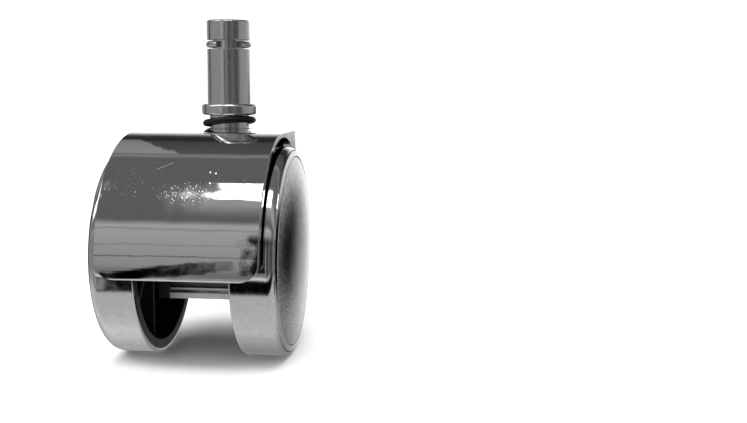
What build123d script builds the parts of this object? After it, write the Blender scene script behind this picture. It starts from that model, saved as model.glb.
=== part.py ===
# Hooded twin-wheel chair castor with a grip-ring stem. Millimetres.
# X points to the closed front of the hood, Y to the castor's left, Z up along the stem.
# The origin is the seat: the centre of the collar's top face, which meets the chair's socket.
import os
from math import acos, cos, radians, sin, sqrt, tan

from build123d import *

# Stem
stem_d = 11.0
stem_len = 21.3
stem_crown = 0.3
groove_down = 7.3
groove_w = 2.35
groove_d = 8.2
collar_d = 14.1
collar_h = 2.85
collar_round = 0.65
neck_d = 10.2
neck_len = 3.5
neck_in = 3.0
journal_d = 9.0
journal_len = 20.0
clip_groove_w = 1.3
clip_groove_d = 7.6
clip_groove_up = 3.2
end_chamfer = 0.8

# Rings on the stem
grip_wire = 1.6
grip_gap = 70.0
grip_turn = 15.0
grip_lift = 0.04
o_wire = 1.7
o_play = 0.1
o_tilt = 7.5
o_turn = 45.0
o_rest = 0.1
clip_wire = 1.0
clip_gap = 40.0
clip_turn = 180.0
clip_lift = 0.05

# Socket in the hood
sleeve_wall = 1.05
turn_gap = 0.05
clip_room = 0.25
pad_t = 1.5
thrust_gap = 0.1
socket_floor = 2.0
socket_wall = 2.2

# Hood
hood_w = 36.4
front_gap = 1.6
front_wall = 1.6
side_wall = 2.0
top_wall = 2.0
edge_round = 0.8
arch_gap = 2.1
swivel_offset = 22.2
rear_centre = 16.6
rear_flare = 8.8
lip_drop = 2.4
lip_corner = 4.6
arch_end = 4.0
tail_bend_r = 7.5
tail_bend = 38.5
tail_tip_r = 1.0
rest_angle = 35.0
rest_clear = 0.1

# Web between the wheels
web_w = 19.8
cheek = 2.7
web_front = 9.0
web_low = 10.4
web_back = 8.0
web_round = 7.0
web_rear_up = 5.0
bar_t = 1.4
bar_deep = 5.5
ledge_t = 0.45
ledge_up = 0.45
ledge_deep = 2.4
mid_rib = 2.0
axle_boss_d = 12.0

# Axle
axle_d = 6.0
axle_chamfer = 0.6
axle_out = 1.6
washer_d = 11.0
washer_t = 0.5
side_gap = 0.25
spin_gap = 0.05
push_d = 10.4
push_t = 0.5
hub_room = 0.6

# Wheels
wheel_d = 50.0
tread_w = 10.0
tread_t = 0.8
tread_round = 1.3
tread_edge = 0.4
rim_step = 0.3
core_rim = 2.1
hub_d = 13.0
hub_len = 6.4
wheel_web = 1.6
rib_count = 8
rib_t = 1.2
rib_step = 3.4
groove_gap = 0.2
trim_w = 1.3
trim_edge = 0.5
trim_h = 0.85
disc_gap = 0.1
disc_edge = 0.8
disc_dome = 1.4
disc_slope = 12.0
disc_crown = 5.5
disc_flat = 11.0

# Smaller than any real size: two places within it are the same
near = 0.01

stem_r = stem_d / 2
neck_r = neck_d / 2
journal_r = journal_d / 2
wheel_r = wheel_d / 2
groove_low = stem_len - groove_down
hood_r = wheel_r + front_gap + front_wall
arch_r = wheel_r + arch_gap
half_hood = hood_w / 2
half_web = web_w / 2
axle_r = axle_d / 2
hood_top = -collar_h - neck_len
axle_x = swivel_offset
axle_z = hood_top - hood_r
neck_end = hood_top - neck_in
stem_end = neck_end - journal_len
pad_top = stem_end - thrust_gap
pad_bottom = pad_top - pad_t
sleeve_r = neck_r + turn_gap + sleeve_wall
journal_bore = journal_r + turn_gap
boss_r = sleeve_r + socket_wall
clip_z = stem_end + clip_groove_up + clip_groove_w / 2
clip_ring_r = clip_groove_d / 2 + clip_lift + clip_wire / 2
rim_w = tread_w - rim_step
rim_r = wheel_r - tread_t
trim_out = rim_r - groove_gap
trim_in = trim_out - trim_w
disc_r = trim_in - disc_gap
wheel_in = half_web + washer_t + side_gap
hub_end = wheel_in + hub_len
push_at = hub_end + side_gap


def side_plane(y=0.0):
    """Looks along +Y from the right: sketch x is X from the axle, sketch y is Z from it."""
    return Plane(origin=(axle_x, y, axle_z), x_dir=(1, 0, 0), z_dir=(0, -1, 0))


def plan_plane(z):
    return Plane(origin=(axle_x, 0, axle_z + z), x_dir=(1, 0, 0), z_dir=(0, 0, 1))


def turned(points):
    """Face to revolve about Z, from pairs of radius and height."""
    with BuildSketch(Plane.XZ) as face:
        with BuildLine():
            Polyline(*points, close=True)
        make_face()
    return face.sketch


# Stem: one turned piece
with BuildPart() as stem:
    add(
        turned(
            [
                (0, stem_len),
                (stem_r - stem_crown, stem_len),
                (stem_r, stem_len - stem_crown),
                (stem_r, groove_low + groove_w),
                (groove_d / 2, groove_low + groove_w),
                (groove_d / 2, groove_low),
                (stem_r, groove_low),
                (stem_r, 0),
                (collar_d / 2, 0),
                (collar_d / 2, -collar_h),
                (neck_r, -collar_h),
                (neck_r, neck_end),
                (journal_r, neck_end),
                (journal_r, clip_z + clip_groove_w / 2),
                (clip_groove_d / 2, clip_z + clip_groove_w / 2),
                (clip_groove_d / 2, clip_z - clip_groove_w / 2),
                (journal_r, clip_z - clip_groove_w / 2),
                (journal_r, stem_end + end_chamfer),
                (journal_r - end_chamfer, stem_end),
                (0, stem_end),
            ]
        )
    )
    revolve(axis=Axis.Z)
    rims = stem.edges().filter_by(GeomType.CIRCLE).filter_by(lambda e: abs(e.radius - collar_d / 2) < near)
    fillet(rims, collar_round)
stem.part.label = "stem"


def wire_ring(radius, wire, gap_deg, gap_at, z):
    """Split ring of round wire about Z, its gap centred gap_at degrees from +X."""
    with BuildPart() as ring:
        with BuildSketch(Plane.XZ):
            with Locations((radius, z)):
                Circle(wire / 2)
        revolve(axis=Axis.Z, revolution_arc=360 - gap_deg)
    return ring.part.rotate(Axis.Z, gap_at + gap_deg / 2)


# Split spring ring in the stem's upper groove
grip_r = groove_d / 2 + grip_lift + grip_wire / 2
with BuildPart() as grip_ring:
    add(wire_ring(grip_r, grip_wire, grip_gap, grip_turn, groove_low + groove_w / 2))
grip_ring.part.label = "grip_ring"

# Retaining ring low on the stem, inside the socket
with BuildPart() as stem_clip:
    add(wire_ring(clip_ring_r, clip_wire, clip_gap, clip_turn, clip_z))
stem_clip.part.label = "stem_clip"

# Rubber ring, loose on the neck and tilted: its side at o_turn degrees from +X is the high one
o_r = neck_r + o_play + o_wire / 2
o_lean = sin(radians(o_tilt))
o_z = hood_top + o_rest + o_wire / 2 + o_r * o_lean
o_up = (-o_lean * cos(radians(o_turn)), -o_lean * sin(radians(o_turn)), cos(radians(o_tilt)))
o_plane = Plane(origin=(0, 0, o_z), z_dir=o_up)
with BuildPart() as rubber_ring:
    with Locations(Location(o_plane)):
        Torus(o_r, o_wire / 2)
rubber_ring.part.label = "rubber_ring"

# Nylon sleeve pressed in the hood's socket
with BuildPart() as socket_sleeve:
    add(
        turned(
            [
                (neck_r + turn_gap, hood_top),
                (sleeve_r, hood_top),
                (sleeve_r, pad_top),
                (journal_bore, pad_top),
                (journal_bore, clip_z - clip_wire / 2 - clip_room),
                (clip_ring_r + clip_wire / 2 + clip_room, clip_z - clip_wire / 2 - clip_room),
                (clip_ring_r + clip_wire / 2 + clip_room, clip_z + clip_wire / 2 + clip_room),
                (journal_bore, clip_z + clip_wire / 2 + clip_room),
                (journal_bore, neck_end - thrust_gap),
                (neck_r + turn_gap, neck_end - thrust_gap),
            ]
        )
    )
    revolve(axis=Axis.Z)
socket_sleeve.part.label = "socket_sleeve"

# Steel pad that the stem's end turns on
with BuildPart() as thrust_pad:
    with BuildSketch(Plane.XY.offset(pad_bottom)):
        Circle(sleeve_r)
    extrude(amount=pad_t)
thrust_pad.part.label = "thrust_pad"


def plan_outline(half, z):
    """Plan of the hood at one height: straight sides and a half-round rear."""
    centre = rear_centre + (hood_r - z) * tan(radians(rear_flare))
    with BuildSketch(plan_plane(z)) as plan:
        with BuildLine():
            Polyline((-centre, half), (hood_r * 2, half), (hood_r * 2, -half), (-centre, -half))
            ThreePointArc((-centre, -half), (-centre - half, 0), (-centre, half))
        make_face()
    return plan.sketch


def hood_form(inset, front, top):
    """Outer form of the hood, or its hollow when the walls are taken off."""
    low = -hood_r
    high = hood_r - top
    with BuildPart() as form:
        add(plan_outline(half_hood - inset, low))
        add(plan_outline(half_hood - inset, high))
        loft(ruled=True)
        with BuildSketch(side_plane()):
            Circle(hood_r - front)
            with Locations((0, high)):
                Rectangle(hood_r * 3, hood_r * 4, align=(Align.MAX, Align.MAX))
            if top:
                with Locations((-hood_r / 2, high)):
                    Rectangle(hood_r * 3, hood_r, align=(Align.CENTER, Align.MIN), mode=Mode.SUBTRACT)
        extrude(amount=hood_w, both=True, mode=Mode.INTERSECT)
    return form.part


def below_outline():
    """Side view of all that is cut away under the lip, the arches and the tail."""
    reach = hood_r * 2
    start = (-sqrt(arch_r**2 - arch_end**2), arch_end)
    slope = radians(rest_angle)
    floor = -(wheel_r - rest_clear)
    with BuildSketch(side_plane(hood_w)) as below:
        with BuildLine():
            bend = JernArc(start, (-arch_end, -sqrt(arch_r**2 - arch_end**2)), tail_bend_r, -tail_bend)
            run = bend % 1
            p = bend @ 1
            t = (floor - p.X * sin(slope) - p.Y * cos(slope)) / (run.X * sin(slope) + run.Y * cos(slope))
            tip = (p.X + run.X * t, p.Y + run.Y * t)
            Line(p, tip)
            far = (-reach, (floor + reach * sin(slope)) / cos(slope))
            Polyline(tip, far, (-reach, -reach), (reach, -reach), (reach, -lip_drop), (0, -lip_drop), start)
        make_face()
        corner = below.vertices().sort_by_distance((tip[0], tip[1], 0))[0]
        fillet(corner, tail_tip_r)
    return below.sketch


def outer_edges(edges):
    """Edges between the hood's top or front and its sides, and round the top of its rear."""
    arcs = edges.filter_by(GeomType.CIRCLE).filter_by(lambda e: abs(e.radius - hood_r) < near)
    high = edges.filter_by(lambda e: e.bounding_box().min.Z > hood_top - near)
    return arcs + high.filter_by(lambda e: e.bounding_box().size.X > near)


# Hood: die-cast shell with wheel arches, and the web that carries stem and axle
with BuildPart() as web:
    add(hood_form(side_wall / 2, front_wall / 2, top_wall / 2))
    with BuildSketch(side_plane()) as profile:
        with BuildLine():
            Polyline(
                (web_front, hood_r),
                (web_front, -web_low),
                (-web_back, -web_low),
                (-rear_centre - half_hood, web_rear_up),
                (-hood_r * 2, web_rear_up),
                (-hood_r * 2, hood_r),
                close=True,
            )
        make_face()
        fillet(profile.vertices().sort_by_distance((-web_back, -web_low, 0))[0], web_round)
    extrude(amount=half_web, both=True, mode=Mode.INTERSECT)
    # Hollow between the cheeks, open to the front and from below
    with BuildSketch(side_plane()):
        Rectangle(hood_r * 4, hood_r * 2, align=(Align.CENTER, Align.CENTER))
        with Locations((web_front, -web_low)):
            Rectangle(bar_deep, bar_t, align=(Align.MAX, Align.MIN), mode=Mode.SUBTRACT)
        with Locations((-rear_centre, hood_r)):
            Rectangle(hood_r * 4, top_wall * 2, align=(Align.CENTER, Align.CENTER), mode=Mode.SUBTRACT)
        Circle(axle_boss_d / 2, mode=Mode.SUBTRACT)
    extrude(amount=half_web - cheek, both=True, mode=Mode.SUBTRACT)
    # Ledge above the bar, middle rib and the stem's socket
    with BuildSketch(side_plane()):
        with Locations((web_front - ledge_deep / 2, -web_low + bar_t + ledge_up)):
            Rectangle(ledge_deep, ledge_t, align=(Align.MAX, Align.MIN))
    extrude(amount=half_web - cheek / 2, both=True)
    with BuildSketch(side_plane()):
        with BuildLine():
            Polyline(
                (0, 0),
                (0, hood_r - top_wall / 2),
                (-swivel_offset, hood_r - top_wall / 2),
                (-swivel_offset, -web_low / 2),
                (-axle_boss_d / 2, -web_low / 2),
                close=True,
            )
        make_face()
    extrude(amount=mid_rib / 2, both=True)
    with BuildSketch(Plane.XY.offset(pad_bottom - socket_floor)):
        Circle(boss_r)
    extrude(amount=hood_top - top_wall / 2 - pad_bottom + socket_floor)

with BuildPart() as hood:
    add(hood_form(0, 0, 0))
    extrude(below_outline(), amount=hood_w * 2, dir=(0, -1, 0), mode=Mode.SUBTRACT)
    fillet(outer_edges(hood.edges()), edge_round)
    add(hood_form(side_wall, front_wall, top_wall), mode=Mode.SUBTRACT)
    # Arches in the side walls
    for s in (1, -1):
        with BuildSketch(side_plane(s * half_hood)):
            Circle(arch_r)
        extrude(amount=s * side_wall, mode=Mode.SUBTRACT)
        with BuildSketch(side_plane(s * half_hood)):
            Circle(hood_r - max(front_wall, top_wall))
        extrude(amount=s * (half_hood - half_web), mode=Mode.SUBTRACT)
    # Rounded lower corners of the front lip
    with BuildSketch(Plane(origin=(axle_x, 0, axle_z), x_dir=(0, 1, 0), z_dir=(1, 0, 0))):
        with Locations((0, -lip_drop)):
            Rectangle(hood_w * 2, lip_corner, align=(Align.CENTER, Align.MIN))
            RectangleRounded(hood_w, hood_r, lip_corner, align=(Align.CENTER, Align.MIN), mode=Mode.SUBTRACT)
    extrude(amount=hood_r * 2, mode=Mode.SUBTRACT)
    add(web.part)
    # Socket bore and axle bore
    with BuildSketch(Plane.XY.offset(pad_bottom)):
        Circle(sleeve_r)
    extrude(amount=hood_r * 2, mode=Mode.SUBTRACT)
    with BuildSketch(side_plane()):
        Circle(axle_r)
    extrude(amount=hood_w, both=True, mode=Mode.SUBTRACT)
hood.part.label = "hood"

# Axle pin, pressed in the web
axle_half = push_at + push_t + axle_out
with BuildPart() as axle:
    with BuildSketch(side_plane()):
        Circle(axle_r)
    extrude(amount=axle_half, both=True)
    chamfer(axle.edges().filter_by(GeomType.CIRCLE), axle_chamfer)
axle.part.label = "axle"


def ring_piece(outer, inner, start, length, s):
    """Plain ring about the axle, on the left for s = 1 and on the right for s = -1."""
    with BuildPart() as piece:
        with BuildSketch(side_plane(s * start)):
            Circle(outer)
            Circle(inner, mode=Mode.SUBTRACT)
        extrude(amount=-s * length)
    return piece.part


def wheel_plane(s):
    """Sketch x is the radius from the axle, sketch y the distance from the middle, left or right."""
    return Plane(origin=(axle_x, 0, axle_z), x_dir=(0, 0, 1), z_dir=(-s, 0, 0))


def wheel_turned(points, s):
    """Piece turned about the axle, from pairs of radius and distance from the middle."""
    with BuildPart() as piece:
        with BuildSketch(wheel_plane(s)):
            with BuildLine():
                Polyline(*points, close=True)
            make_face()
        revolve(axis=Axis((axle_x, 0, axle_z), (0, 1, 0)))
    return piece.part


def left_or_right(name, s):
    return name + ("_left" if s == 1 else "_right")


made = []
for s in (1, -1):
    # Steel washer beside the web
    with BuildPart() as washer:
        add(ring_piece(washer_d / 2, axle_r + spin_gap, half_web, washer_t, s))
    washer.part.label = left_or_right("washer", s)
    # Push-on spring nut on the axle's end
    with BuildPart() as push_nut:
        add(ring_piece(push_d / 2, axle_r, push_at, push_t, s))
    push_nut.part.label = left_or_right("push_nut", s)

    # Nylon wheel body: hub, web, ribs and rim
    face_at = wheel_in + rim_w
    web_at = face_at - wheel_web
    rim_in = rim_r - core_rim
    with BuildPart() as core:
        add(
            wheel_turned(
                [
                    (axle_r + spin_gap, wheel_in),
                    (hub_d / 2, wheel_in),
                    (hub_d / 2, web_at),
                    (rim_in, web_at),
                    (rim_in, wheel_in),
                    (rim_r, wheel_in),
                    (rim_r, face_at),
                    (push_d / 2 + hub_room, face_at),
                    (push_d / 2 + hub_room, hub_end),
                    (axle_r + spin_gap, hub_end),
                ],
                s,
            )
        )
        with BuildSketch(side_plane(s * (wheel_in + rib_step))):
            with PolarLocations((hub_d / 2 + rim_in) / 2, rib_count):
                Rectangle(rim_in - hub_d / 2 + rib_t, rib_t)
        extrude(amount=-s * (web_at - wheel_in - rib_step))
    core.part.label = left_or_right("wheel_core", s)

    # Polished tread shell with a rounded shoulder
    turn = acos(1 - tread_t / tread_round)
    tread_out = wheel_in + tread_w
    shoulder = tread_out - tread_round * sin(turn)
    middle = (
        wheel_r - tread_round * (1 - cos(turn / 2)),
        shoulder + tread_round * sin(turn / 2),
    )
    with BuildPart() as tread:
        with BuildSketch(wheel_plane(s)) as face:
            with BuildLine():
                Polyline((rim_r, tread_out), (rim_r, wheel_in), (wheel_r, wheel_in), (wheel_r, shoulder))
                ThreePointArc((wheel_r, shoulder), middle, (rim_r, tread_out))
            make_face()
            fillet(face.vertices().sort_by_distance((wheel_r, wheel_in, 0))[0], tread_edge)
        revolve(axis=Axis((axle_x, 0, axle_z), (0, 1, 0)))
    tread.part.label = left_or_right("tread", s)

    # Polished trim ring round the face, with a bevelled top
    with BuildPart() as trim:
        add(
            wheel_turned(
                [
                    (trim_in, face_at),
                    (trim_out, face_at),
                    (trim_out, face_at + trim_edge),
                    (trim_in, face_at + trim_h),
                ],
                s,
            )
        )
    trim.part.label = left_or_right("trim_ring", s)

    # Satin face disc with a pebble-shaped crown
    edge_at = face_at + disc_edge
    top_at = edge_at + disc_dome
    with BuildPart() as disc:
        with BuildSketch(wheel_plane(s)):
            with BuildLine():
                Polyline((0, top_at), (0, face_at), (disc_r, face_at), (disc_r, edge_at))
                Bezier(
                    (disc_r, edge_at),
                    (disc_r - disc_crown, edge_at + disc_crown * tan(radians(disc_slope))),
                    (disc_flat, top_at),
                    (0, top_at),
                )
            make_face()
        revolve(axis=Axis((axle_x, 0, axle_z), (0, 1, 0)))
    disc.part.label = left_or_right("face_disc", s)
    made += [washer, push_nut, core, tread, trim, disc]

made += [stem, grip_ring, stem_clip, rubber_ring, socket_sleeve, thrust_pad, hood, axle]
os.makedirs("parts", exist_ok=True)
for piece in made:
    export_step(piece.part, "parts/" + piece.part.label + ".step")
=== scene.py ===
# Looks of the hooded twin-wheel chair castor, in metres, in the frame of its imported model.
# X points to the closed front of the hood, Y to the castor's left, Z up along the stem.
from math import acos, asin, cos, pi, radians, sin, sqrt, tan

import bmesh
import bpy
from mathutils import Matrix, Vector


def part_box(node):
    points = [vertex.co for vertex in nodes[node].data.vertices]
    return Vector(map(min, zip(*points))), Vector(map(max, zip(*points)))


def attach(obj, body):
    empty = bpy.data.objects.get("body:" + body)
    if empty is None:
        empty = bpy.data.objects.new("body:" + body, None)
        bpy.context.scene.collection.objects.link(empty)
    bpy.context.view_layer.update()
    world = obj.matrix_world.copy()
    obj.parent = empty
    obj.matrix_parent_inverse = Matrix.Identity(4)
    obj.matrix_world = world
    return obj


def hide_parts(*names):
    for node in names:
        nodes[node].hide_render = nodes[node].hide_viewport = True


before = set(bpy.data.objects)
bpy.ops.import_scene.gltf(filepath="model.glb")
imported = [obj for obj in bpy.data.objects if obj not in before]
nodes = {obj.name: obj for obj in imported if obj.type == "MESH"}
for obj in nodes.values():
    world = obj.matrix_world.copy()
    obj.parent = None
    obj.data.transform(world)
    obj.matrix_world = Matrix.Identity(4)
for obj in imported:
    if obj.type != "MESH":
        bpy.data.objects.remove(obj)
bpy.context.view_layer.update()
mm = 0.001

# Sizes, the same as the solids'
hood_r = 28.2 * mm
half_hood = 18.2 * mm
front_wall = 1.6 * mm
side_wall = 2.0 * mm
top_wall = 2.0 * mm
arch_r = 27.1 * mm
rear_centre = 16.6 * mm
rear_flare = radians(8.8)
lip_drop = 2.4 * mm
lip_corner = 4.6 * mm
arch_end = 4.0 * mm
tail_bend_r = 7.5 * mm
tail_bend = radians(38.5)
tail_tip_r = 1.0 * mm
rest_angle = radians(35.0)
rest_clear = 0.1 * mm
edge_round = 0.8 * mm
half_web = 9.9 * mm
cheek = 2.7 * mm
web_front = 9.0 * mm
web_low = 10.4 * mm
web_back = 8.0 * mm
web_round = 7.0 * mm
web_rear_up = 5.0 * mm
bar_t = 1.4 * mm
bar_deep = 5.5 * mm
ledge_t = 0.45 * mm
ledge_up = 0.45 * mm
ledge_deep = 2.4 * mm
mid_rib = 2.0 * mm
axle_r = 3.0 * mm
axle_boss_r = 6.0 * mm
socket_boss_r = 8.4 * mm
socket_bore_r = 6.2 * mm
wheel_r = 25.0 * mm
tread_t = 0.8 * mm
tread_edge = 0.4 * mm
rim_step = 0.3 * mm
groove_gap = 0.2 * mm
trim_w = 1.3 * mm
trim_edge = 0.5 * mm
trim_h = 0.85 * mm
disc_gap = 0.1 * mm
disc_edge = 0.8 * mm
disc_dome = 1.4 * mm
disc_slope = tan(radians(12.0))
disc_crown = 5.5 * mm
disc_flat = 11.0 * mm
stem_r = 5.5 * mm
stem_crown = 0.3 * mm
stem_groove_r = 4.1 * mm
stem_groove_low = 14.0 * mm
stem_groove_w = 2.35 * mm
collar_r = 7.05 * mm
collar_h = 2.85 * mm
collar_round = 0.65 * mm
neck_r = 5.1 * mm
neck_in = 3.0 * mm
journal_r = 4.5 * mm

# Sizes that only the scene has, or has otherwise than the solids
front_below = radians(8.0)
arch_back = 0.6 * mm
tail_tip_angle = radians(100.0)
hood_edge = 0.22 * mm
web_setback = web_round * tan(radians(19.0))
web_edge = 0.2 * mm
rim_t = 0.6 * mm
rim_h = 1.5 * mm
tread_round = 2.6 * mm
trim_top_round = 0.12 * mm
trim_inner_round = 0.1 * mm
disc_rim_round = 0.25 * mm
stem_top_round = 0.08 * mm
stem_groove_round = 0.12 * mm
floor_size = 6.0
floor_gap = 0.02 * mm

# Keeps two cuts from ending in one plane
hair = 0.001 * mm

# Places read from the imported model
tread_low, tread_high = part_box("tread_left")
axle = Vector(((tread_low.x + tread_high.x) / 2, 0, (tread_low.z + tread_high.z) / 2))
wheel_in = tread_low.y
tread_out = tread_high.y
hood_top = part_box("hood")[1].z
stem_low, stem_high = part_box("stem")
bore_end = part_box("thrust_pad")[0].z
floor_z = tread_low.z

# Share of light that the hood's chrome gives back
chrome_level = 0.45

# From a level as it looks to one in light
display_gamma = 2.2

# Wear on the hood's front: millimetres to the castor's left and above the axle, and how far it reaches
rubbed_spot, rubbed_reach = (1.5, 15.8), (6.0, 2.3)
marks_spot, marks_reach = (-11.0, 19.5), (4.5, 3.5)
lone_specks = ((5.8, 20.4), (7.1, 20.2), (6.2, 18.2))
scratch_from, scratch_to = (-6.6, -6.0), (-3.3, -2.9)
scratch_spot, scratch_slope = (-4.6, 21.6), 0.42

# Millimetres: the crown that the disc's shading adds is its radius squared over this
shading_crown = 430

# Camera at the photograph's viewing angle and distance: its place from the axle and its axes
camera_place = Vector((226.93, 61.18, 39.68)) * mm
camera_across = Vector((-0.0939, 0.9956, 0.0064))
camera_up = Vector((-0.1286, -0.0185, 0.9915))
camera_view = Vector((-0.9873, -0.0922, -0.1297))
camera_lens = 46.65

# Panels of the studio: from and to in degrees, and the level at each edge; between them it blends.
# By height about the axle, 0 is ahead, 90 above, 180 behind and -90 below.
studio_height = {
    "floor behind": (-180, -130, 0.35, 0.45),
    "floor ahead": (-90, -41, 0.65, 0.6),
    "dark card": (-37, -24.5, 0.05, 0.05),
    "bright strip": (-23, -20, 0.75, 0.75),
    "front wall": (-18.5, 31, 0.5, 0.6),
    "upper wall": (36, 106, 0.35, 0.35),
    "narrow strip": (108, 111, 0.45, 0.45),
    "ceiling": (114, 134, 0.3, 0.25),
    "dark corner": (141, 150, 0.15, 0.2),
    "window": (157, 175, 0.5, 1.0),
}
# By turn about the stem, 0 is ahead, 90 to the castor's left and 180 behind.
studio_round = {
    "window, right half": (-180, -160, 0.85, 0.65),
    "right wall": (-150, -116, 0.45, 0.45),
    "dark post": (-109, -107, 0.1, 0.1),
    "right wall ahead": (-98, 2, 0.45, 0.45),
    "first dark card": (8, 20, 0.25, 0.25),
    "paler gap": (33, 35, 0.35, 0.35),
    "second dark card": (44, 64, 0.25, 0.25),
    "left wall": (74, 130, 0.45, 0.5),
    "window, left half": (145, 180, 0.65, 0.8),
}


# Shader maths as expressions
class Value:
    """A socket of a material's nodes, or a number, that takes part in sums."""

    tree = None

    def __init__(self, source):
        self.source = source

    @classmethod
    def node(cls, kind, settings=None, **inputs):
        made = cls.tree.nodes.new(kind)
        for name, setting in (settings or {}).items():
            if name == "stops":
                ramp = made.color_ramp
                while len(ramp.elements) > 1:
                    ramp.elements.remove(ramp.elements[-1])
                for number, (position, colour) in enumerate(setting):
                    stop = ramp.elements[0] if number == 0 else ramp.elements.new(position)
                    stop.position = position
                    stop.color = colour
            else:
                setattr(made, name, setting)
        for name, given in inputs.items():
            numbered = name[1:].isdigit()
            socket = made.inputs[int(name[1:]) if numbered else name.replace("_", " ")]
            if isinstance(given, Value):
                given = given.source
            if isinstance(given, bpy.types.NodeSocket):
                cls.tree.links.new(given, socket)
            else:
                socket.default_value = given
        return made

    def math(self, operation, *others):
        sockets = {"i%d" % number: value for number, value in enumerate((self,) + others)}
        return Value(Value.node("ShaderNodeMath", {"operation": operation}, **sockets).outputs[0])

    def __add__(self, other):
        return self.math("ADD", other)

    __radd__ = __add__

    def __mul__(self, other):
        return self.math("MULTIPLY", other)

    __rmul__ = __mul__

    def __sub__(self, other):
        return self.math("SUBTRACT", other)

    def __rsub__(self, other):
        return Value(other).math("SUBTRACT", self)

    def __truediv__(self, other):
        return self.math("DIVIDE", other)

    def __pow__(self, other):
        return self.math("POWER", other)

    def absolute(self):
        return self.math("ABSOLUTE")

    def ramp(self, start, end):
        """0 up to start and 1 from end on, smoothly."""
        made = Value.node(
            "ShaderNodeMapRange", {"interpolation_type": "SMOOTHSTEP", "clamp": True},
            i0=self, i1=start, i2=end,
        )
        return Value(made.outputs[0])

    def lighter(self, other):
        return self.math("MAXIMUM", other)

    def fade(self):
        """1 at 0, and less and less as the value grows."""
        return (self * -1).math("EXPONENT")


def place(scale=(1, 1, 1), offset=(0, 0, 0)):
    """Object coordinates in millimetres, stretched by scale."""
    coordinates = Value.node("ShaderNodeTexCoord").outputs["Object"]
    made = Value.node(
        "ShaderNodeMapping", None,
        Vector=coordinates, Location=offset, Scale=tuple(part / mm for part in scale),
    )
    return made.outputs[0]


def noise(size, detail=2.0, scale=(1, 1, 1), rough=0.5, offset=(0, 0, 0)):
    """Noise whose lumps are about size millimetres."""
    made = Value.node(
        "ShaderNodeTexNoise", None,
        Vector=place(scale, offset), Scale=1 / size, Detail=detail, Roughness=rough,
    )
    return Value(made.outputs[0])


def mix(share, first, second):
    made = Value.node("ShaderNodeMix", {"data_type": "RGBA"}, Factor=share, i6=first, i7=second)
    return Value(made.outputs[2])


def grey(level, warm=0.0):
    return (level * (1 + warm), level, level * (1 - warm), 1)


def axis_parts():
    """Object coordinates in millimetres, one by one."""
    coordinates = Value.node("ShaderNodeTexCoord").outputs["Object"]
    made = Value.node("ShaderNodeSeparateXYZ", None, i0=coordinates)
    return [Value(made.outputs[number]) * (1 / mm) for number in range(3)]


def patch(along, height, spot, reach):
    """1 at a spot on the hood's front, fading over its reach."""
    return (((along - spot[0]) / reach[0]) ** 2 + ((height - spot[1]) / reach[1]) ** 2).fade()


def material(colour, rough, metal, height=None, depth=0.0, **fixed):
    """Principled material; colour and rough may be sockets, and height feeds a bump of that depth."""
    shader = Value.node(
        "ShaderNodeBsdfPrincipled", None, Base_Color=colour, Roughness=rough, Metallic=metal,
    )
    for socket, number in fixed.items():
        shader.inputs[socket.replace("_", " ")].default_value = number
    if height is not None:
        bump = Value.node("ShaderNodeBump", None, Height=height, Strength=1.0, Distance=depth)
        Value.tree.links.new(bump.outputs[0], shader.inputs["Normal"])
    output = Value.tree.nodes.new("ShaderNodeOutputMaterial")
    Value.tree.links.new(shader.outputs[0], output.inputs[0])


def new_material(name):
    made = bpy.data.materials.new(name)
    made.use_nodes = True
    made.node_tree.nodes.clear()
    Value.tree = made.node_tree
    return made


def dark_chrome():
    """Dark chrome on die-cast zinc: a faintly waved mirror with haze, dust, specks and rubbed marks."""
    made = new_material("dark_chrome")
    across, along, up = axis_parts()
    ahead = across - axle.x / mm
    height = up - axle.z / mm
    front = ahead.ramp(5, 12)
    waves = noise(6.0, 1.0)
    grain = noise(0.3, 3.0)
    haze = noise(3.0, 3.0).ramp(0.45, 0.75)
    dust = noise(0.28, 2.0).ramp(0.70, 0.76)
    # Dusting and rubbed haze beside the highlight
    rubbed_wear_and_painted_highlight = patch(along, height, rubbed_spot, rubbed_reach) * front
    dots = Value(Value.node("ShaderNodeTexVoronoi", None, Vector=place(), Scale=1.9).outputs["Distance"])
    worn = (1 - (dots - rubbed_wear_and_painted_highlight * 0.17).ramp(0.03, 0.11)) * rubbed_wear_and_painted_highlight.ramp(0.05, 0.5)
    # One long scratch above the haze
    line = (along - scratch_spot[0]) * scratch_slope + scratch_spot[1] - (noise(1.5) - 0.5) * 0.2
    scratch = (1 - (height - line).absolute().ramp(0.02, 0.07)) * front
    scratch = scratch * along.ramp(*scratch_from) * (1 - along.ramp(*scratch_to))
    worn = worn.lighter(scratch * 0.4)
    # Three specks on their own
    for side, high in lone_specks:
        speck = (along - side) ** 2 + (height - high) ** 2
        worn = worn.lighter((1 - speck.ramp(0.015, 0.05)) * front)
    # Fine rubbed marks towards the upper corner
    marks = noise(0.5, 3.0, scale=(0.8, 0.5, 1), offset=(1, 2, 3)).ramp(0.54, 0.66)
    marks = marks * patch(along, height, marks_spot, marks_reach) * front
    level = mix((dust * 0.4).lighter(worn).lighter(marks * 0.38), grey(chrome_level), grey(0.85))
    rough = 0.02 + haze * 0.03 + dust * 0.2 + rubbed_wear_and_painted_highlight * 0.06 + worn * 0.35
    relief = waves * 0.6 + grain * 0.02 + rubbed_wear_and_painted_highlight * grain * 0.02
    material(level, rough, 1 - worn * 0.8, relief, 0.06 * mm)
    return made


def bright_chrome():
    made = new_material("bright_chrome")
    waves = noise(5.0, 1.0)
    haze = noise(1.5, 3.0).ramp(0.4, 0.8)
    dust = noise(0.3, 2.0).ramp(0.7, 0.78)
    level = mix(haze * 0.6, grey(0.5), grey(0.6))
    material(level, 0.06 + haze * 0.07 + dust * 0.2, 1.0, waves, 0.03 * mm)
    return made


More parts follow.
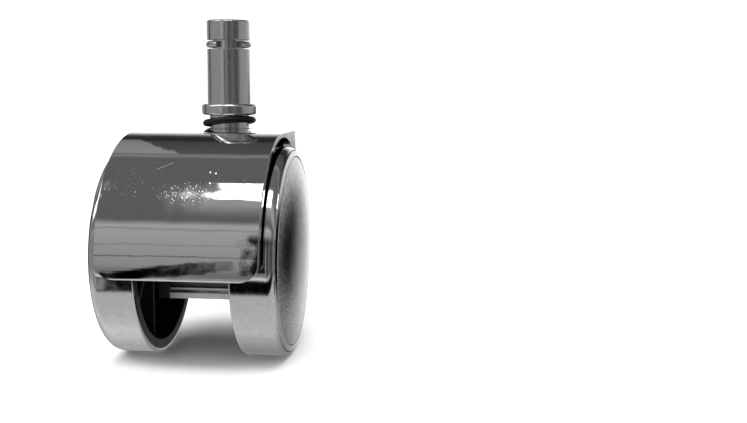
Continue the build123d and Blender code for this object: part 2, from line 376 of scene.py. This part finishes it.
def satin_plate():
    """Satin plated face, mottled and finely grained, with a little more crown in its shading."""
    made = new_material("satin_plate")
    grain = noise(0.16, 3.0)
    mottle = noise(1.1, 4.0, rough=0.7)
    pits = noise(0.42, 2.0, offset=(9, 4, 2)).ramp(0.38, 0.62)
    level = mix(mottle.ramp(0.3, 0.75) * 0.3 + pits * 0.7, grey(0.26), grey(0.62))
    across, up = axis_parts()[::2]
    distance_squared = (across - axle.x / mm) ** 2 + (up - axle.z / mm) ** 2
    relief = (grain * 0.7 + mottle * 0.3) * 0.05 - distance_squared / shading_crown
    material(level, 0.12 + mottle * 0.06, 1.0, relief, mm)
    return made


def turned_steel():
    """Turned and plated steel: satin, with very faint rings and soft stains."""
    made = new_material("turned_steel")
    rings = noise(0.3, 2.0, scale=(0.08, 0.08, 1))
    stain = noise(1.6, 4.0, rough=0.6)
    streaks = noise(0.35, 3.0, scale=(1, 1, 0.12))
    level = mix(stain * 0.6 + streaks * 0.4, grey(0.48), grey(0.62))
    relief = stain + rings * 0.15 + streaks * 0.2
    material(level, 0.15 + stain * 0.12, 1.0, relief, 0.02 * mm)
    return made


def spring_wire():
    made = new_material("spring_wire")
    drawn = noise(0.3, 2.0)
    level = mix(drawn, grey(0.35), grey(0.5))
    material(level, 0.32 + drawn * 0.1, 1.0, drawn, 0.02 * mm)
    return made


def black_rubber():
    made = new_material("black_rubber")
    bloom = noise(0.6, 3.0)
    level = mix(bloom, grey(0.002), grey(0.005))
    material(level, 0.3 + bloom * 0.2, 0.0, bloom, 0.04 * mm, Specular_IOR_Level=0.25)
    return made


def black_nylon():
    made = new_material("black_nylon")
    spark = noise(0.25, 2.0)
    flow = noise(3.0, 2.0)
    level = mix(flow, grey(0.008), grey(0.016))
    material(level, 0.36 + flow * 0.2, 0.0, spark, 0.04 * mm, Specular_IOR_Level=0.3)
    return made


def bare_casting():
    """Plated casting inside the hood: duller and rougher than the outside, with a painted highlight on the
    bar's front and the ledge's edge, and painted shade on the cheeks' front ends.
    """
    made = new_material("bare_casting")
    cast = noise(0.5, 4.0, rough=0.6)
    across, along, up = axis_parts()
    ahead = across - axle.x / mm
    height = up - axle.z / mm
    # Painted highlight: the bar's front and the ledge's edge coloured near white
    bar_front_painted_highlight = ahead.ramp(8.6, 8.8) * (height + 9.9).absolute().ramp(0.9, 0.7)
    ledge_edge_painted_highlight = ahead.ramp(7.3, 7.6) * (1 - ahead.ramp(8.2, 8.6))
    ledge_edge_painted_highlight = ledge_edge_painted_highlight * (height + 8.35).absolute().ramp(0.4, 0.3)
    rubbed_wear_and_painted_highlight = bar_front_painted_highlight.lighter(ledge_edge_painted_highlight)
    # Painted shade: the front ends of the cheeks coloured near black
    inner = 1 - along.absolute().ramp(7.0, 7.3)
    cast_level = mix(noise(2.5, 3.0), grey(0.18), grey(0.3))
    painted_shade_ends = ahead.ramp(8.8, 8.9) * (1 - inner)
    # Mixes the near-white painted highlight and the near-black painted shade into the casting's colour
    level = mix(rubbed_wear_and_painted_highlight * inner, mix(painted_shade_ends, cast_level, grey(0.07)), grey(0.95))
    material(level, 0.26 + cast * 0.2, 1.0, cast, 0.1 * mm)
    return made


finishes = {
    "dark_chrome": dark_chrome(),
    "bright_chrome": bright_chrome(),
    "satin_plate": satin_plate(),
    "turned_steel": turned_steel(),
    "spring_wire": spring_wire(),
    "black_rubber": black_rubber(),
    "black_nylon": black_nylon(),
    "bare_casting": bare_casting(),
}


# Modelling steps
def take(piece):
    if bpy.context.object and bpy.context.object.mode != "OBJECT":
        bpy.ops.object.mode_set(mode="OBJECT")
    bpy.ops.object.select_all(action="DESELECT")
    piece.select_set(True)
    bpy.context.view_layer.objects.active = piece


def leave():
    if bpy.context.object and bpy.context.object.mode != "OBJECT":
        bpy.ops.object.mode_set(mode="OBJECT")
    bpy.ops.object.select_all(action="DESELECT")


def edit(piece, kind="VERT"):
    take(piece)
    bpy.ops.object.mode_set(mode="EDIT")
    bpy.ops.mesh.select_mode(type=kind)
    bpy.ops.mesh.select_all(action="DESELECT")


def pick(piece, kind, test):
    """Selects in edit mode the corners, edges or faces whose middle passes the test."""
    mesh = bmesh.from_edit_mesh(piece.data)
    parts = {"VERT": mesh.verts, "EDGE": mesh.edges, "FACE": mesh.faces}[kind]
    for part in parts:
        if kind == "VERT":
            middle = part.co
        else:
            middle = sum((corner.co for corner in part.verts), Vector()) / len(part.verts)
        part.select_set(bool(test(part, middle)))
    mesh.select_flush_mode()
    bmesh.update_edit_mesh(piece.data)


def outline(name, points, fill="NOTHING"):
    """Closed outline through the points, made from a circle whose corners are moved in turn."""
    leave()
    bpy.ops.mesh.primitive_circle_add(vertices=len(points), radius=mm, fill_type=fill)
    piece = bpy.context.object
    piece.name = name
    edit(piece)
    for number, point in enumerate(points):
        mesh = bmesh.from_edit_mesh(piece.data)
        mesh.verts.ensure_lookup_table()
        bpy.ops.mesh.select_all(action="DESELECT")
        mesh.verts[number].select_set(True)
        step = Vector(point) - mesh.verts[number].co
        bpy.ops.transform.translate(value=step)
    return piece


def near(point, reach=1e-6):
    target = Vector(point)
    return lambda part, middle: (middle - target).length < reach


def prism(name, points, start, end):
    """Solid with an outline of (x, z) pairs from the axle, from one y to the other."""
    corners = [(axle.x + x, start, axle.z + z) for x, z in points]
    piece = outline(name, corners, "NGON")
    bpy.ops.mesh.select_all(action="SELECT")
    bpy.ops.mesh.extrude_region_move(TRANSFORM_OT_translate={"value": (0, end - start, 0)})
    bpy.ops.mesh.select_all(action="SELECT")
    bpy.ops.mesh.normals_make_consistent(inside=False)
    leave()
    return piece


def round_corner(piece, point, size, segments):
    """Rounds the prism's edge along Y that passes through the pair (x, z) from the axle."""
    edit(piece, "EDGE")
    x, z = axle.x + point[0], axle.z + point[1]
    pick(
        piece, "EDGE",
        lambda part, middle: abs(middle.x - x) < 1e-6 and abs(middle.z - z) < 1e-6
        and abs(part.verts[0].co.y - part.verts[1].co.y) > 1e-6,
    )
    bpy.ops.mesh.bevel(offset=size, segments=segments, affect="EDGES")
    leave()


def drum(name, radius, start, end, steps=256):
    """Cylinder about the axle from one y to the other."""
    leave()
    bpy.ops.mesh.primitive_cylinder_add(
        vertices=steps, radius=radius, depth=end - start,
        location=(axle.x, (start + end) / 2, axle.z), rotation=(pi / 2, 0, 0),
    )
    piece = bpy.context.object
    piece.name = name
    bpy.ops.object.transform_apply(location=True, rotation=True, scale=True)
    return piece


def post(name, radius, low, high, steps=128):
    """Cylinder about the stem's axis."""
    leave()
    bpy.ops.mesh.primitive_cylinder_add(
        vertices=steps, radius=radius, depth=high - low, location=(0, 0, (low + high) / 2),
    )
    piece = bpy.context.object
    piece.name = name
    bpy.ops.object.transform_apply(location=True, rotation=True, scale=True)
    return piece


def block(name, low, high):
    """Box between two corners, given from the axle."""
    leave()
    low, high = axle + Vector(low), axle + Vector(high)
    bpy.ops.mesh.primitive_cube_add(size=1, location=(low + high) / 2, scale=high - low)
    piece = bpy.context.object
    piece.name = name
    bpy.ops.object.transform_apply(location=True, rotation=True, scale=True)
    return piece


def combine(piece, other, operation):
    take(piece)
    step = piece.modifiers.new(operation.lower(), "BOOLEAN")
    step.operation = operation
    step.object = other
    step.solver = "EXACT"
    bpy.ops.object.modifier_apply(modifier=step.name)
    bpy.data.objects.remove(other)


def soften(piece, width, segments=3, angle=30):
    """Rounds every edge sharper than the angle."""
    take(piece)
    step = piece.modifiers.new("edges", "BEVEL")
    step.width = width
    step.segments = segments
    step.limit_method = "ANGLE"
    step.angle_limit = radians(angle)
    step.use_clamp_overlap = True
    step.harden_normals = True
    bpy.ops.object.shade_smooth_by_angle(angle=radians(angle))
    bpy.ops.object.modifier_apply(modifier=step.name)


def smooth(piece, angle=30):
    take(piece)
    bpy.ops.object.shade_smooth_by_angle(angle=radians(angle))
    step = piece.modifiers.new("normals", "WEIGHTED_NORMAL")
    step.keep_sharp = True
    bpy.ops.object.modifier_apply(modifier=step.name)
    leave()


def turned(name, points, axis, centre, rounds=(), steps=192):
    """Turns an outline of 3-D points about an axis; rounds are (point, size, segments)."""
    piece = outline(name, points)
    for point, size, segments in rounds:
        bpy.ops.mesh.select_all(action="DESELECT")
        pick(piece, "VERT", near(point))
        bpy.ops.mesh.bevel(offset=size, segments=segments, affect="VERTICES")
    bpy.ops.mesh.select_all(action="SELECT")
    bpy.ops.mesh.spin(steps=steps, angle=2 * pi, center=centre, axis=axis)
    bpy.ops.mesh.select_all(action="SELECT")
    bpy.ops.mesh.remove_doubles(threshold=1e-6)
    bpy.ops.mesh.normals_make_consistent(inside=False)
    leave()
    return piece


def finish(piece, body, slot, finish_name, *replaced):
    piece.data.materials.clear()
    piece.data.materials.append(finishes[finish_name])
    if replaced:
        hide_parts(*replaced)
    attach(piece, body)


# Hood
def hood_body(name, inset, front, top):
    """Outer form of the hood, or its hollow: round from the top down the front, half round behind."""
    half = half_hood - inset
    radius = hood_r - front
    deep = rear_centre + half
    first, last = asin(min(1, (hood_r - top) / radius)), -front_below
    steps = 80
    turns = [first + (last - first) * number / steps for number in range(steps + 1)]
    points = [(-deep, -hood_r), (-deep, hood_r - top)]
    points += [(radius * cos(turn), radius * sin(turn)) for turn in turns]
    points += [(radius * cos(last), -hood_r)]
    piece = prism(name, points, -half, half)
    edit(piece, "EDGE")
    behind = axle.x - deep
    pick(
        piece, "EDGE",
        lambda part, middle: abs(middle.x - behind) < 1e-6 and abs(abs(middle.y) - half) < 1e-6,
    )
    # Just short of half the width, where the two roundings would meet
    rear_round = half * 0.9999
    bpy.ops.mesh.bevel(offset=rear_round, segments=64, affect="EDGES")
    bpy.ops.mesh.select_mode(type="VERT")
    bpy.ops.mesh.select_all(action="DESELECT")
    base = axle.z - hood_r
    rear = axle.x - rear_centre + 1e-5
    pick(piece, "VERT", lambda part, middle: middle.x < rear and middle.z < base + 1e-6)
    bpy.ops.transform.translate(value=(-(2 * hood_r - top) * tan(rear_flare), 0, 0))
    pick(piece, "VERT", lambda part, middle: middle.x < rear)
    bpy.ops.transform.translate(value=(-top * tan(rear_flare), 0, 0))
    leave()
    return piece


def undercut():
    """All that is cut away under the lip, the arches and the tail."""
    reach = 2 * hood_r
    start = Vector((-sqrt(arch_r**2 - arch_end**2), arch_end))
    run_in = Vector((-arch_end, -sqrt(arch_r**2 - arch_end**2))).normalized()
    turn = Matrix.Rotation(-tail_bend, 2)
    run_out = turn @ run_in
    setback = tail_bend_r * tan(tail_bend / 2)
    corner = start + run_in * setback
    resting = -(wheel_r - rest_clear)
    out = (resting - corner.x * sin(rest_angle) - corner.y * cos(rest_angle)) / (
        run_out.x * sin(rest_angle) + run_out.y * cos(rest_angle)
    )
    tip = corner + run_out * out
    far = (-reach, (resting + reach * sin(rest_angle)) / cos(rest_angle))
    points = [start, corner, tip, far, (-reach, -reach), (reach, -reach)]
    points += [(reach, -lip_drop), (0, -lip_drop)]
    piece = prism("undercut", [tuple(point) for point in points], -2 * half_hood, 2 * half_hood)
    round_corner(piece, corner, setback, 24)
    round_corner(piece, tip, tail_tip_r * tan((pi - tail_tip_angle) / 2), 8)
    return piece


def lip_cutter(side):
    """Takes the square lower corner off the front lip, leaving a round one."""
    outer = half_hood + mm
    inner = half_hood - lip_corner
    edges = sorted((side * outer, side * inner))
    low = (0, edges[0], -lip_drop - mm)
    high = (2 * hood_r, edges[1], lip_corner - lip_drop)
    piece = block("lip_cutter", low, high)
    leave()
    bpy.ops.mesh.primitive_cylinder_add(
        vertices=128, radius=lip_corner, depth=6 * hood_r,
        location=axle + Vector((0, side * inner, lip_corner - lip_drop)), rotation=(0, pi / 2, 0),
    )
    rounding = bpy.context.object
    bpy.ops.object.transform_apply(location=True, rotation=True, scale=True)
    combine(piece, rounding, "DIFFERENCE")
    return piece


def make_hood():
    hood = hood_body("hood_shell", 0, 0, 0)
    soften(hood, edge_round, 8)
    combine(hood, hood_body("hollow", side_wall, front_wall, top_wall), "DIFFERENCE")
    combine(hood, undercut(), "DIFFERENCE")
    for side in (1, -1):
        edges = sorted((side * (half_hood + mm), side * (half_hood - side_wall - hair)))
        arch = drum("arch", arch_r, *edges)
        arch.location.x = -arch_back
        combine(hood, arch, "DIFFERENCE")
        edges = sorted((side * (half_hood + mm), side * half_web))
        combine(hood, drum("pocket", hood_r - max(front_wall, top_wall), *edges), "DIFFERENCE")
        combine(hood, lip_cutter(side), "DIFFERENCE")
    combine(hood, post("bore", socket_bore_r, bore_end, hood_top + mm), "DIFFERENCE")
    soften(hood, hood_edge)
    smooth(hood)
    return hood


def make_web():
    deep = rear_centre + half_hood
    plate = hood_r - top_wall / 2
    points = [
        (web_front, -web_low), (-web_back, -web_low), (-deep + mm, web_rear_up), (-deep + mm, plate),
    ]
    # The top follows the hood's round, inside its wall
    for share in (0, 0.4, 0.7, 1):
        points.append((web_front * share, sqrt(plate**2 - (web_front * share) ** 2)))
    web = prism("hood_web", points, -half_web, half_web)
    round_corner(web, points[1], web_setback, 16)
    gap = half_web - cheek
    hollow = block("hollow", (-deep * 2, -gap, -hood_r), (2 * hood_r, gap, hood_r - top_wall))
    combine(web, hollow, "DIFFERENCE")
    bar = block("bar", (web_front - bar_deep, -gap - mm, -web_low), (web_front, gap + mm, -web_low + bar_t))
    combine(web, bar, "UNION")
    ledge_x = web_front - ledge_deep / 2
    ledge_z = -web_low + bar_t + ledge_up
    ledge = block(
        "ledge", (ledge_x - ledge_deep, -gap - mm, ledge_z), (ledge_x, gap + mm, ledge_z + ledge_t),
    )
    combine(web, ledge, "UNION")
    rim = block(
        "ledge_rim", (ledge_x - ledge_deep, -gap - mm, ledge_z),
        (ledge_x - ledge_deep + rim_t, gap + mm, ledge_z + ledge_t + rim_h),
    )
    combine(web, rim, "UNION")
    combine(web, drum("axle_boss", axle_boss_r, -gap - mm, gap + mm, 96), "UNION")
    low = bore_end - 2 * mm
    rib = prism(
        "rib",
        [(0, 0), (0, plate), (-axle.x, plate), (-axle.x, -web_low / 2), (-axle_boss_r, -web_low / 2)],
        -mid_rib / 2, mid_rib / 2,
    )
    combine(web, rib, "UNION")
    combine(web, post("socket_boss", socket_boss_r, low, hood_top - top_wall / 2), "UNION")
    combine(web, post("bore", socket_bore_r, bore_end, hood_top + mm), "DIFFERENCE")
    combine(web, drum("axle_bore", axle_r, -2 * half_web, 2 * half_web, 96), "DIFFERENCE")
    soften(web, web_edge, 2)
    smooth(web)
    return web


finish(make_hood(), "fork", "hood_chrome", "dark_chrome", "hood")
finish(make_web(), "fork", "hood_chrome", "bare_casting", "hood")


# Wheels
def wheel_point(radius, out, side):
    return (axle.x + radius, side * out, axle.z)


def crown_height(share):
    """Radius and height along the disc's crown, from its edge at 0 to the middle at 1."""
    disc_r = wheel_r - tread_t - groove_gap - trim_w - disc_gap
    base = tread_out - rim_step + disc_edge
    radii = (disc_r, disc_r - disc_crown, disc_flat, 0)
    heights = (base, base + disc_crown * disc_slope, base + disc_dome, base + disc_dome)
    weights = ((1 - share) ** 3, 3 * share * (1 - share) ** 2, 3 * share**2 * (1 - share), share**3)
    return (
        sum(weight * radius for weight, radius in zip(weights, radii)),
        sum(weight * height for weight, height in zip(weights, heights)),
    )


def make_wheel(side, word):
    body = "wheel_" + word
    centre = (axle.x, 0, axle.z)
    rim_r = wheel_r - tread_t
    face = tread_out - rim_step
    trim_out = rim_r - groove_gap
    trim_in = trim_out - trim_w

    turn = acos(1 - tread_t / tread_round)
    shoulder = tread_out - tread_round * sin(turn)
    steps = 10
    profile = [(rim_r, tread_out), (rim_r, wheel_in), (wheel_r, wheel_in)]
    for number in range(steps):
        angle = turn * number / steps
        profile.append((wheel_r - tread_round * (1 - cos(angle)), shoulder + tread_round * sin(angle)))
    points = [wheel_point(radius, out, side) for radius, out in profile]
    rounds = [(points[2], tread_edge, 4)]
    tread = turned("tread_shell_" + word, points, (0, 1, 0), centre, rounds, 256)
    smooth(tread, 40)
    finish(tread, body, "tread_chrome", "bright_chrome", "tread_" + word)

    points = [
        wheel_point(trim_in, face, side), wheel_point(trim_out, face, side),
        wheel_point(trim_out, face + trim_edge, side), wheel_point(trim_in, face + trim_h, side),
    ]
    rounds = [(points[2], trim_top_round, 3), (points[3], trim_inner_round, 3)]
    trim = turned("bevel_ring_" + word, points, (0, 1, 0), centre, rounds, 256)
    smooth(trim, 40)
    finish(trim, body, "trim_chrome", "bright_chrome", "trim_ring_" + word)

    disc_r = trim_in - disc_gap
    steps = 24
    crown = [crown_height(number / steps) for number in range(steps + 1)]
    points = [wheel_point(0, face, side), wheel_point(disc_r, face, side)]
    points += [wheel_point(radius, out, side) for radius, out in crown]
    rounds = [(points[2], disc_rim_round, 4)]
    disc = turned("face_plate_" + word, points, (0, 1, 0), centre, rounds, 192)
    smooth(disc, 40)
    finish(disc, body, "face_satin", "satin_plate", "face_disc_" + word)


make_wheel(1, "left")
make_wheel(-1, "right")


# Stem and its rings
def make_stem():
    neck_end = hood_top - neck_in
    low = stem_low.z
    profile = [
        (0, stem_high.z), (stem_r - stem_crown, stem_high.z), (stem_r, stem_high.z - stem_crown),
        (stem_r, stem_groove_low + stem_groove_w), (stem_groove_r, stem_groove_low + stem_groove_w),
        (stem_groove_r, stem_groove_low), (stem_r, stem_groove_low),
        (stem_r, 0), (collar_r, 0), (collar_r, -collar_h), (neck_r, -collar_h),
        (neck_r, neck_end), (journal_r, neck_end), (journal_r, low), (0, low),
    ]
    points = [(radius, 0, height) for radius, height in profile]
    rounds = [
        (points[1], stem_top_round, 2), (points[2], stem_top_round, 2),
        (points[3], stem_groove_round, 2), (points[6], stem_groove_round, 2),
        (points[8], collar_round, 5), (points[9], collar_round, 5),
    ]
    stem = turned("stem_shank", points, (0, 0, 1), (0, 0, 0), rounds, 128)
    smooth(stem, 40)
    finish(stem, "stem", "steel", "turned_steel", "stem")


make_stem()

# Kept nodes and their finishes
kept = {
    "grip_ring": "spring_wire",
    "stem_clip": "spring_wire",
    "rubber_ring": "black_rubber",
    "socket_sleeve": "black_nylon",
    "thrust_pad": "turned_steel",
    "axle": "turned_steel",
    "washer_left": "turned_steel",
    "washer_right": "turned_steel",
    "push_nut_left": "spring_wire",
    "push_nut_right": "spring_wire",
    "wheel_core_left": "black_nylon",
    "wheel_core_right": "black_nylon",
}
for name, finish_name in kept.items():
    nodes[name].data.materials.clear()
    nodes[name].data.materials.append(finishes[finish_name])
    take(nodes[name])
    bpy.ops.object.shade_smooth_by_angle(angle=radians(30))
leave()


# Floor, light and camera
def pale_floor():
    made = new_material("pale_floor")
    paper = noise(3.0, 2.0)
    material(mix(paper, grey(0.86), grey(0.88)), 0.9, 0.0)
    leave()
    bpy.ops.mesh.primitive_plane_add(size=floor_size, location=(0, 0, floor_z - floor_gap))
    floor = bpy.context.object
    floor.name = "floor"
    floor.data.materials.append(made)
    floor.visible_glossy = False


def by_angle(angle, panels):
    """Level of the panel at an angle, 0 to 1."""
    edges = []
    for start, end, first, last in panels.values():
        edges += [(start, first), (end, last)]
    stops = [((degree + 180) / 360, grey(level)) for degree, level in edges]
    ramp = Value.node("ShaderNodeValToRGB", {"stops": stops}, i0=(angle + 180) / 360)
    return Value(ramp.outputs[0])


def dark_fin(angle, aside, waver):
    """Curved dark cloth over the hood's lip, in stripes towards its inner end."""
    top = (aside + 0.362).lighter(0.0) ** 0.55 * 60 - 20 + waver * 4
    low = (aside + 0.36).absolute() ** 2 * 700 - 20
    fin = (1 - (angle - top).ramp(-1.5, 1.5)) * (angle - low).ramp(-1, 1)
    stripes = (angle * 0.35 - aside * 420 + waver * 6).math("SINE").ramp(-0.9, 0.9)
    fin = fin * (1 - stripes * aside.ramp(-0.33, -0.29) * 0.6) * (1 - aside.ramp(-0.275, -0.235) * 0.7)
    return fin * aside.ramp(-0.362, -0.355) * (1 - aside.ramp(-0.234, -0.228))


def soft_box(angle, aside, waver):
    """Bright box above the front, cut off slantwise, and a second one far to the right."""
    angle = angle + waver * 5
    height = angle.ramp(56, 57) * (1 - angle.ramp(74.5, 76))
    end = aside + 0.262 - (angle - waver * 5 - 61).absolute() * 0.0018 + waver * 0.05
    box = height * end.ramp(-0.006, 0.006) * (1 - aside.ramp(0.3, 0.36))
    return box + height * (1 - aside.ramp(-0.366, -0.360)) * aside.ramp(-0.95, -0.85)


def studio_level(angle, turn, aside, above, waver):
    """Level of the studio as the hood's chrome shows it, without the bright boxes."""
    level = by_angle(angle, studio_height)
    # A glow on the upper wall, and a paler floor at the castor's far right
    near_side = aside.ramp(-0.31, -0.26)
    level = level + angle.ramp(37, 54) * (1 - angle.ramp(54, 78)) * near_side * 0.2
    level = level + angle.ramp(-180, -130) * (1 - angle.ramp(-108, -68)) * (1 - near_side) * 0.1
    # Pale wedge on the ceiling
    wedge_end = 112 + (-0.288 - aside) * 757
    wedge = angle.ramp(112, 114) * (1 - (angle - wedge_end).ramp(-2, 2)) * (1 - angle.ramp(138, 143))
    level = level + wedge * 0.21
    level = level * (1 - dark_fin(angle, aside, waver) * 0.85)
    # Dark marks at the lip's corner, and a pale card under the lip
    marks = (waver * 2.5 + aside.ramp(-0.226, -0.212)).ramp(0.42, 0.55)
    marks = marks * angle.ramp(-16, -13) * (1 - angle.ramp(16, 26))
    level = level * (1 - marks * 0.8)
    under = angle.ramp(-40, -36) * (1 - angle.ramp(-26, -24)) * (1 - aside.ramp(-0.362, -0.35))
    level = level * (1 - under) + under * 0.5
    # Three faint lines, and a soft shade at the front wall's foot
    for degree, width, depth in ((27, 1.0, 0.08), (12, 0.6, 0.06), (1, 0.7, 0.2), (-15, 5.0, 0.1)):
        level = level - (((angle - degree + waver * 8) / width) ** 2).fade() * depth
    # Off the hood, what the stem and the discs mirror at the castor's own height
    near_level = 1 - above.absolute().ramp(0.15, 0.45)
    off_hood = (1 - aside.ramp(-0.50, -0.44)).lighter(aside.ramp(-0.14, -0.06))
    share = near_level * off_hood
    level = level * (1 - share) + by_angle(turn, studio_round) * share
    spot = ((turn - 151.5) / 16) ** 2 + ((above + 0.14) / 0.11) ** 2
    return level * (1 - (spot.fade() * 2.6).ramp(0.1, 1))


def studio_world():
    """Soft studio round the castor, and white where the camera sees it."""
    world = bpy.data.worlds.new("studio")
    bpy.context.scene.world = world
    world.use_nodes = True
    world.node_tree.nodes.clear()
    Value.tree = world.node_tree
    direction = Value.node("ShaderNodeTexCoord").outputs["Generated"]
    parts = Value.node("ShaderNodeSeparateXYZ", None, i0=direction)
    ahead, aside, above = (Value(parts.outputs[number]) for number in range(3))
    angle = above.math("ARCTAN2", ahead) * (180 / pi)
    turn = aside.math("ARCTAN2", ahead) * (180 / pi)
    made = Value.node("ShaderNodeTexNoise", None, Vector=direction, Scale=9.0, Detail=4.0)
    waver = Value(made.outputs[0]) - 0.5
    level = studio_level(angle, turn, aside, above, waver)
    level = level.lighter(0.01) ** display_gamma * (1 / chrome_level)
    level = level + soft_box(angle, aside, waver) * 6.0
    camera_ray = Value(Value.node("ShaderNodeLightPath").outputs["Is Camera Ray"])
    strength = camera_ray * 1.05 + (1 - camera_ray) * level
    background = Value.node("ShaderNodeBackground", None, Color=(1, 1, 1, 1), Strength=strength)
    output = Value.tree.nodes.new("ShaderNodeOutputWorld")
    Value.tree.links.new(background.outputs[0], output.inputs[0])


def sky_light(name, source, spread, strength):
    """Even light from one side of the sky, soft at the edges of its shadows."""
    leave()
    bpy.ops.object.light_add(type="SUN", location=source)
    light = bpy.context.object
    light.name = name
    light.rotation_euler = Vector(source).to_track_quat("Z", "Y").to_euler()
    light.data.angle = radians(spread)
    light.data.energy = strength
    light.visible_glossy = False


def photo_camera():
    data = bpy.data.cameras.new("photo_camera")
    data.lens = camera_lens
    data.sensor_width = 36
    data.clip_start = 0.01
    camera = bpy.data.objects.new("photo_camera", data)
    bpy.context.scene.collection.objects.link(camera)
    turn = Matrix((camera_across, camera_up, -camera_view)).transposed()
    camera.matrix_world = Matrix.Translation(axle + camera_place) @ turn.to_4x4()
    bpy.context.scene.camera = camera


pale_floor()
studio_world()
sky_light("back_light", (-0.5, 0.05, 0.85), 50, 1.5)
sky_light("front_light", (0.6, -0.1, 0.7), 40, 1.1)
sky_light("top_light", (0.1, 0.0, 1.0), 120, 1.5)
photo_camera()
bpy.context.scene.view_settings.view_transform = "Standard"
